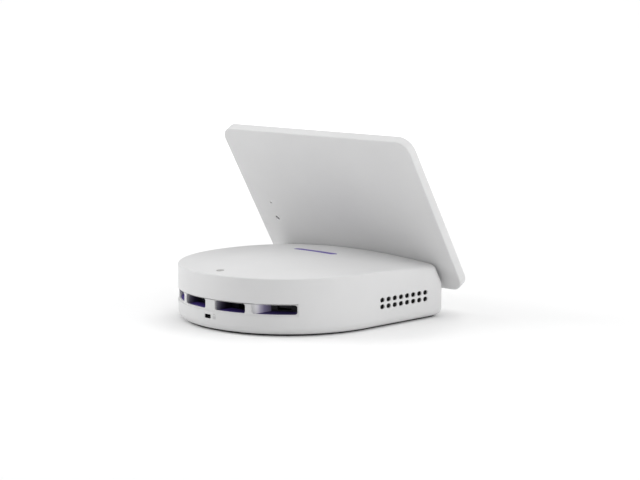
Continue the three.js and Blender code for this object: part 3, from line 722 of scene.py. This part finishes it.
def ramp(tree, factor, stops):
    node = add(tree, "ShaderNodeValToRGB")
    elements = node.color_ramp.elements
    while len(elements) < len(stops):
        elements.new(0.5)
    for element, (position, colour) in zip(elements, stops):
        element.position = position
        element.color = (*colour, 1)
    tree.links.new(factor, node.inputs["Fac"])
    return node.outputs["Color"]


def spread(tree, factor, low, high, start=0.3, stop=0.7):
    node = add(tree, "ShaderNodeMapRange")
    node.inputs["From Min"].default_value = start
    node.inputs["From Max"].default_value = stop
    node.inputs["To Min"].default_value = low
    node.inputs["To Max"].default_value = high
    tree.links.new(factor, node.inputs["Value"])
    return node.outputs["Result"]


def maths(tree, operation, first, second=None):
    """A Math node; each operand is a number or another node's output."""
    node = add(tree, "ShaderNodeMath", operation=operation)
    for socket, value in zip(node.inputs, (first, second)):
        if isinstance(value, (int, float)):
            socket.default_value = value
        elif value is not None:
            tree.links.new(value, socket)
    return node.outputs[0]


def tinted(tree, shader, factor, colour):
    """Multiplies the shader's colour by another; factor and colour are each a value or a node's output."""
    tint = add(tree, "ShaderNodeMix", data_type="RGBA", blend_type="MULTIPLY")
    tree.links.new(shader.inputs["Base Color"].links[0].from_socket, tint.inputs[6])
    for socket, value in ((tint.inputs[0], factor), (tint.inputs[7], colour)):
        if isinstance(value, (float, tuple)):
            socket.default_value = value
        else:
            tree.links.new(value, socket)
    tree.links.new(tint.outputs[2], shader.inputs["Base Color"])


def bump(tree, shader, height, distance):
    node = add(tree, "ShaderNodeBump", Strength=1.0, Distance=distance)
    tree.links.new(height, node.inputs["Height"])
    tree.links.new(node.outputs["Normal"], shader.inputs["Normal"])


def shade(colour, by):
    return tuple(max(0.0, c * by) for c in colour)


def moulded(name, colour, rough, grain=0.35, tone=0.03, depth=0.000012):
    """Moulded plastic: fine spark-eroded grain, faint flow mottling, slightly uneven gloss."""
    material, tree, shader = tree_of(name)
    mottle = noise(tree, 14, 3.0, 0.55)
    stops = [(0.3, shade(colour, 1 - tone)), (0.7, shade(colour, 1 + tone * 0.4))]
    tree.links.new(ramp(tree, mottle, stops), shader.inputs["Base Color"])
    fine = noise(tree, 1000 / grain, 2.0, 0.6)
    tree.links.new(spread(tree, fine, rough - 0.05, rough + 0.07), shader.inputs["Roughness"])
    shader.inputs["IOR"].default_value = 1.47
    coarse = maths(tree, "MULTIPLY", noise(tree, 230, 1.0), 0.25)
    bump(tree, shader, maths(tree, "ADD", fine, coarse), depth)
    return material


def metal(name, colour, rough, stretch=(1, 1, 30)):
    """Rolled or plated metal with fine lines along one direction."""
    material, tree, shader = tree_of(name)
    mapping = add(tree, "ShaderNodeMapping")
    mapping.inputs["Scale"].default_value = stretch
    tree.links.new(coordinates(tree), mapping.inputs["Vector"])
    lines = add(tree, "ShaderNodeTexNoise", Scale=120, Detail=4.0)
    tree.links.new(mapping.outputs["Vector"], lines.inputs["Vector"])
    drawn = lines.outputs["Fac"]
    surface = ramp(tree, drawn, [(0.3, shade(colour, 0.86)), (0.7, shade(colour, 1.06))])
    tree.links.new(surface, shader.inputs["Base Color"])
    tree.links.new(spread(tree, drawn, rough - 0.08, rough + 0.1), shader.inputs["Roughness"])
    shader.inputs["Metallic"].default_value = 1.0
    bump(tree, shader, drawn, 0.000008)
    return material


def circuit(name):
    """Green solder mask with copper tracks showing through as a paler pattern."""
    material, tree, shader = tree_of(name)
    cells = add(tree, "ShaderNodeTexBrick", Scale=90)
    cells.inputs["Mortar Size"].default_value = 0.035
    cells.inputs["Color1"].default_value = (0.012, 0.07, 0.035, 1)
    cells.inputs["Color2"].default_value = (0.016, 0.085, 0.04, 1)
    cells.inputs["Mortar"].default_value = (0.03, 0.15, 0.07, 1)
    tree.links.new(coordinates(tree), cells.inputs["Vector"])
    tree.links.new(cells.outputs["Color"], shader.inputs["Base Color"])
    tree.links.new(spread(tree, noise(tree, 300), 0.25, 0.4), shader.inputs["Roughness"])
    bump(tree, shader, cells.outputs["Fac"], 0.00003)
    return material


def woven(name, colour):
    """A plain weave of half-millimetre yarns."""
    material, tree, shader = tree_of(name)
    waves = []
    for direction in ("Y", "Z"):
        wave = add(tree, "ShaderNodeTexWave", Scale=620, bands_direction=direction)
        tree.links.new(coordinates(tree), wave.inputs["Vector"])
        waves.append(wave.outputs["Fac"])
    both = maths(tree, "MULTIPLY", *waves)
    yarn = ramp(tree, both, [(0.1, shade(colour, 0.3)), (0.8, colour)])
    tree.links.new(yarn, shader.inputs["Base Color"])
    shader.inputs["Roughness"].default_value = 0.9
    shader.inputs["Sheen Weight"].default_value = 0.2
    bump(tree, shader, both, 0.0001)
    return material


def lit(name, colour, glow, dim):
    """Milky light guide, lit from within, a little uneven over its lamps."""
    material, tree, shader = tree_of(name)
    cloud = noise(tree, 60, 1.0)
    plastic = ramp(tree, cloud, [(0.3, shade(colour, 0.85)), (0.7, colour)])
    tree.links.new(plastic, shader.inputs["Base Color"])
    lamps = ramp(tree, cloud, [(0.25, shade(glow, dim)), (0.75, glow)])
    tree.links.new(lamps, shader.inputs["Emission Color"])
    shader.inputs["Emission Strength"].default_value = 1.0
    tree.links.new(spread(tree, noise(tree, 900), 0.6, 0.75), shader.inputs["Roughness"])
    shader.inputs["Specular IOR Level"].default_value = 0.15
    return material


def rear_reach(tree):
    """Separated coordinates, and how near the rear wall's outer face a point is, which is at 1."""
    axes = add(tree, "ShaderNodeSeparateXYZ")
    tree.links.new(coordinates(tree), axes.inputs[0])
    x, y, z = axes.outputs
    across = maths(tree, "ABSOLUTE", maths(tree, "DIVIDE", x, ARC_HALF_WIDTH * MM))
    behind = maths(tree, "SUBTRACT", y, ARC_Y * MM)
    along = maths(tree, "ABSOLUTE", maths(tree, "DIVIDE", behind, ARC_DEPTH * MM))
    powers = [maths(tree, "POWER", share, REAR_POWER) for share in (across, along)]
    return x, z, maths(tree, "ADD", *powers)


def within(tree, value, middle, reach):
    """1 where a coordinate lies within reach of middle, both in millimetres, and 0 elsewhere."""
    distance = maths(tree, "ABSOLUTE", maths(tree, "SUBTRACT", value, middle * MM))
    return maths(tree, "LESS_THAN", distance, reach * MM)


def white_painted_hole_shade():
    """The shell's white, with painted shade on the inner walls deep in the side vents and the lock slot."""
    material = moulded("white_painted_hole_shade", WHITE, 0.5)
    tree = material.node_tree
    shader = tree.nodes["Principled BSDF"]
    axes = add(tree, "ShaderNodeSeparateXYZ")
    tree.links.new(coordinates(tree), axes.inputs[0])
    x, y, z = axes.outputs
    slant = side_face(1) - side_face(0)
    face = maths(tree, "ADD", maths(tree, "MULTIPLY", y, slant), side_face(0) * MM)
    side_depth = maths(tree, "SUBTRACT", face, maths(tree, "ABSOLUTE", x))
    rear_depth = maths(tree, "SUBTRACT", rear_y(LOCK_AT[0], 0) * MM, y)
    vents = maths(
        tree,
        "MULTIPLY",
        within(tree, y, sum(VENT_Y) / len(VENT_Y), 34),
        within(tree, z, sum(VENT_Z) / len(VENT_Z) + STAND, 7),
    )
    slot = maths(
        tree,
        "MULTIPLY",
        within(tree, x, LOCK_AT[0], 5),
        maths(tree, "MULTIPLY", within(tree, z, LOCK_AT[1] + STAND, 3), within(tree, y, 100, 12)),
    )
    # painted shade: the vent walls turn black from 0.9 to 1.6 mm deep, and the lock slot's walls from 0.1
    # to 0.4 mm deep
    deep_vent = spread(tree, side_depth, 0.0, 1.0, 0.9 * MM, 1.6 * MM)
    deep_slot = spread(tree, rear_depth, 0.0, 1.0, 0.1 * MM, 0.4 * MM)
    painted_vent_shade = maths(tree, "MULTIPLY", deep_vent, vents)
    painted_slot_shade = maths(tree, "MULTIPLY", deep_slot, slot)
    tinted(tree, shader, maths(tree, "MAXIMUM", painted_vent_shade, painted_slot_shade), (0.02, 0.02, 0.02, 1))
    return material


def bay_walls():
    """White at the windows, then painted shade, darker and a little violet, towards the port panels; the
    outer bays' walls are painted lighter, as if lit from the side, and carry a painted glow, violet deeper
    in.
    """
    material = moulded("bay_walls", WHITE, 0.5)
    tree = material.node_tree
    shader = tree.nodes["Principled BSDF"]
    x, _, reach = rear_reach(tree)
    outer = maths(tree, "GREATER_THAN", maths(tree, "ABSOLUTE", x), OUTER_BAYS_FROM * MM)
    # painted light: the outer bays' walls are pushed towards white, as if lit from the side
    lit_side = maths(tree, "MULTIPLY", outer, 0.11)
    # painted shade: the walls darken with depth into the bay
    painted_depth_shade = [
        (0.72, (0.022, 0.02, 0.032)), (0.82, (0.1, 0.09, 0.13)),
        (0.9, (0.28, 0.27, 0.32)), (0.985, WHITE),
    ]
    stops = [(place, shade(colour, 1 / WHITE[1])) for place, colour in painted_depth_shade]
    tinted(tree, shader, 1.0, ramp(tree, maths(tree, "ADD", reach, lit_side), stops))
    # painted glow: the outer bays' walls give off violet-grey light, standing in for the floor's light
    # falling on them
    painted_wall_glow = [
        (0.6, (0.045, 0.04, 0.065)), (0.72, (0.1, 0.09, 0.145)), (0.79, (0.2, 0.19, 0.235)),
        (0.84, (0.26, 0.255, 0.27)), (0.9, (0.14, 0.14, 0.14)), (0.95, (0.02, 0.02, 0.02)),
    ]
    tree.links.new(ramp(tree, reach, painted_wall_glow), shader.inputs["Emission Color"])
    tree.links.new(outer, shader.inputs["Emission Strength"])
    return material


def bay_glow():
    """The bays' floor: violet on its upper face, brightest just inside the windows and towards +X."""
    material, tree, shader = tree_of("bay_light")
    x, z, reach = rear_reach(tree)
    inwards = spread(tree, reach, 0.22, 1.0, 0.72, 0.93)
    outer = maths(tree, "MULTIPLY", inwards, spread(tree, x, 0.25, 1.0, -0.07, 0.0))
    on_top = maths(tree, "GREATER_THAN", z, (BAND_Z[0] + STAND + 0.4) * MM)
    cloud = spread(tree, noise(tree, 90, 1.0), 0.8, 1.1)
    glow = maths(tree, "MULTIPLY", maths(tree, "MULTIPLY", outer, on_top), cloud)
    plastic = ramp(tree, cloud, [(0.3, (0.04, 0.03, 0.09)), (0.9, (0.05, 0.04, 0.11))])
    tree.links.new(plastic, shader.inputs["Base Color"])
    shader.inputs["Emission Color"].default_value = (0.035, 0.02, 0.13, 1)
    tree.links.new(glow, shader.inputs["Emission Strength"])
    tree.links.new(spread(tree, noise(tree, 900), 0.45, 0.6), shader.inputs["Roughness"])
    shader.inputs["Specular IOR Level"].default_value = 0.2
    return material


def screen_material():
    """Black-inked glass over a dark panel: the active area is a shade lighter than its border."""
    material, tree, shader = tree_of("front_glass")
    smears = noise(tree, 22, 4.0, 0.6)
    up_slope = add(tree, "ShaderNodeVectorMath", operation="DOT_PRODUCT")
    up_slope.inputs[1].default_value = (0, math.cos(LEAN), math.sin(LEAN))
    tree.links.new(coordinates(tree), up_slope.inputs[0])
    middle = leaning(0, (DISPLAY_S[0] + DISPLAY_S[1]) / 2, 0)
    along = (middle[1] * math.cos(LEAN) + (middle[2] + STAND) * math.sin(LEAN)) * MM
    from_middle = maths(tree, "ABSOLUTE", maths(tree, "SUBTRACT", up_slope.outputs["Value"], along))
    axes = add(tree, "ShaderNodeSeparateXYZ")
    tree.links.new(coordinates(tree), axes.inputs[0])
    inside = maths(
        tree,
        "MULTIPLY",
        maths(tree, "LESS_THAN", maths(tree, "ABSOLUTE", axes.outputs[0]), SCREEN_HALF[0] * MM),
        maths(tree, "LESS_THAN", from_middle, SCREEN_HALF[1] * MM),
    )
    shown = maths(tree, "MULTIPLY", inside, spread(tree, smears, 0.8, 1.0))
    panel = ramp(tree, shown, [(0.0, (0.003, 0.003, 0.0034)), (1.0, (0.011, 0.0115, 0.013))])
    tree.links.new(panel, shader.inputs["Base Color"])
    tree.links.new(spread(tree, smears, 0.03, 0.09), shader.inputs["Roughness"])
    shader.inputs["IOR"].default_value = 1.5
    shader.inputs["Coat Weight"].default_value = 0.2
    shader.inputs["Coat Roughness"].default_value = 0.02
    return material


def rubbery(name, colour):
    material, tree, shader = tree_of(name)
    fine = noise(tree, 1600, 2.0)
    patches = ramp(tree, noise(tree, 60, 3.0), [(0.3, shade(colour, 0.8)), (0.7, shade(colour, 1.15))])
    tree.links.new(patches, shader.inputs["Base Color"])
    tree.links.new(spread(tree, fine, 0.75, 0.92), shader.inputs["Roughness"])
    bump(tree, shader, fine, 0.00003)
    return material


WHITE = (0.685, 0.685, 0.687)


def make_materials():
    return {
        "white_shell": moulded("white_shell", WHITE, 0.5),
        "white_painted_hole_shade": white_painted_hole_shade(),
        "black_plastic": moulded("black_plastic", (0.012, 0.012, 0.013), 0.42),
        "foot_rubber": rubbery("foot_rubber", (0.05, 0.05, 0.052)),
        "cone_rubber": rubbery("cone_rubber", (0.02, 0.02, 0.02)),
        "vent_cloth": woven("vent_cloth", (0.008, 0.008, 0.009)),
        "steel": metal("steel", (0.6, 0.61, 0.62), 0.35),
        "screw_steel": metal("screw_steel", (0.25, 0.25, 0.26), 0.35, (1, 1, 1)),
        "port_metal": metal("port_metal", (0.07, 0.07, 0.075), 0.35, (1, 12, 1)),
        "aluminium": metal("aluminium", (0.75, 0.76, 0.77), 0.4, (30, 1, 1)),
        "circuit_board": circuit("circuit_board"),
        "bay_light": bay_glow(),
        "bay_walls": bay_walls(),
        "bar_light": lit("bar_light", (0.05, 0.04, 0.1), (0.09, 0.06, 0.24), 0.8),
        "button_plastic": moulded("button_plastic", (0.42, 0.415, 0.41), 0.45),
        "cable_film": moulded("cable_film", (0.45, 0.22, 0.04), 0.25),
        "diffuser": moulded("diffuser", (0.85, 0.85, 0.85), 0.6),
        "display_panel": moulded("display_panel", (0.01, 0.01, 0.012), 0.2, 0.2),
        "front_glass": screen_material(),
        "dark_lens": moulded("dark_lens", (0.006, 0.006, 0.008), 0.1, 0.6, 0.1, 0.000002),
        "microphone_brass": metal("microphone_brass", (0.7, 0.52, 0.25), 0.3),
    }


MATERIALS = make_materials()


def build_object():
    white = MATERIALS["white_shell"]
    finish_piece(build_housing(), "hub", "white_shell", MATERIALS["white_painted_hole_shade"], "base_housing")
    finish_piece(build_bezel(), "hub", "white_shell", white, "port_bezel")
    finish_piece(build_display_shell(), "hub", "white_shell", white, "display_back_cover")
    finish_piece(build_foot(), "hub", "foot_rubber", MATERIALS["foot_rubber"], "foot_ring")
    finish_piece(build_bottom(), "hub", "black_plastic", MATERIALS["black_plastic"], "base_cover")
    finish_piece(build_glass(), "hub", "front_glass", MATERIALS["front_glass"], "touch_glass")
    finish_piece(build_lens(), "hub", "bar_light", MATERIALS["bar_light"], "light_bar_lens")
    finish_piece(build_button(), "button", "button_plastic", MATERIALS["button_plastic"], "power_button")
    ink = moulded("symbol_ink", (0.53, 0.53, 0.53), 0.5)
    finish_piece(build_lock_symbol(), "hub", "white_shell", ink)


NODE_MATERIALS = {"port_bay": "bay_walls"}  # the others wear the material named after their slot


def dress_nodes():
    """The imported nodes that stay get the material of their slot."""
    for row in frame["record"]["subparts"]:
        node = frame["nodes"][row["node"]]
        node.data.materials.clear()
        node.data.materials.append(MATERIALS[NODE_MATERIALS.get(row["node"], row["material_slot"])])


build_object()
dress_nodes()


# ------------------------------------------------------------------ stage
FAR_PAINTED_GLOW = 0.6  # painted glow: the floor paper gives off light that grows away from the object, so that the far backdrop reads white
FAR_FROM_TO = (0.6, 2.2)


def make_floor():
    half = 30.0
    mesh = bpy.data.meshes.new("floor")
    corners = [(-half, -half, 0), (half, -half, 0), (half, half, 0), (-half, half, 0)]
    mesh.from_pydata(corners, [], [(0, 1, 2, 3)])
    floor = bpy.data.objects.new("floor", mesh)
    bpy.context.scene.collection.objects.link(floor)
    material, tree, shader = tree_of("floor_paper")
    paper = ramp(tree, noise(tree, 4, 2.0), [(0.3, (0.905,) * 3), (0.7, (0.915,) * 3)])
    tree.links.new(paper, shader.inputs["Base Color"])
    shader.inputs["Roughness"].default_value = 0.9
    shader.inputs["Specular IOR Level"].default_value = 0.1
    distance = add(tree, "ShaderNodeVectorMath", operation="LENGTH")
    tree.links.new(coordinates(tree), distance.inputs[0])
    # painted glow on the floor, rising from none at 0.6 m to full at 2.2 m from the centre
    painted_far_glow = spread(tree, distance.outputs["Value"], 0.0, FAR_PAINTED_GLOW, *FAR_FROM_TO)
    shader.inputs["Emission Color"].default_value = (1, 1, 1, 1)
    tree.links.new(painted_far_glow, shader.inputs["Emission Strength"])
    mesh.materials.append(material)


def area_light(name, at, target, size, power):
    data = bpy.data.lights.new(name, "AREA")
    data.shape = "RECTANGLE"
    data.size, data.size_y = size
    data.energy = power
    lamp = bpy.data.objects.new(name, data)
    lamp.location = at
    aim = Vector(target) - Vector(at)
    lamp.rotation_euler = aim.to_track_quat("-Z", "Y").to_euler()
    bpy.context.scene.collection.objects.link(lamp)


def make_world(strength):
    world = bpy.data.worlds.new("studio")
    world.use_nodes = True
    background = world.node_tree.nodes["Background"]
    background.inputs["Color"].default_value = (1, 1, 1, 1)
    background.inputs["Strength"].default_value = strength
    bpy.context.scene.world = world


make_floor()
make_world(0.446)
area_light("top", (-0.6, -0.2, 2.6), (0, 0, 0), (2.6, 2.6), 31)
area_light("side", (-2.6, -0.9, 0.9), (0, 0, 0.08), (1.6, 1.6), 22)
area_light("left", (2.2, 1.2, 1.4), (0, 0, 0.05), (1.6, 1.6), 38)
area_light("front", (0.2, -1.6, 2.2), (0, 0.05, 0.05), (2.0, 1.4), 12)
bpy.context.scene.view_settings.view_transform = "Standard"
